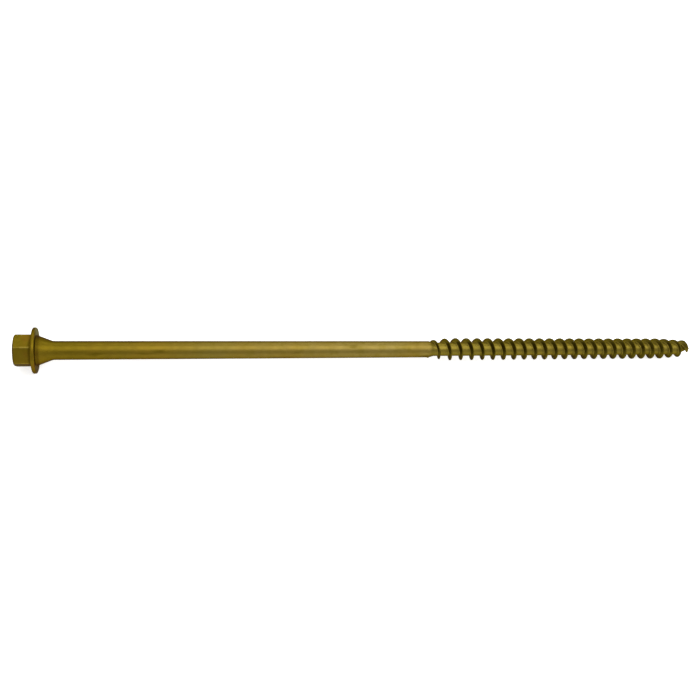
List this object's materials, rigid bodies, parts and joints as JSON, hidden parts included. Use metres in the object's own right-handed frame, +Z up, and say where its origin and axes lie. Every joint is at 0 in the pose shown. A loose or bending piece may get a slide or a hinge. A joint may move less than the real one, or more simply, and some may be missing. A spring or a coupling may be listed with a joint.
{
  "type": "lag screw",
  "caption": "Long right-hand timber screw with a hex head and flange, a conical neck, a plain shank and a coarse thread to a gimlet point.",
  "frame": {"origin": "centre of the flange's bearing face", "axes": "+X along the screw towards its point, dipping 0.77 degrees because the screw lies on its flange and thread crest; +Z up"},
  "size_m": [0.2084, 0.012, 0.012],
  "materials": {
    "bronze_coat": "satin"
  },
  "bodies": {
    "root": {"lag_screw": "bronze_coat"}
  },
  "joints": []
}
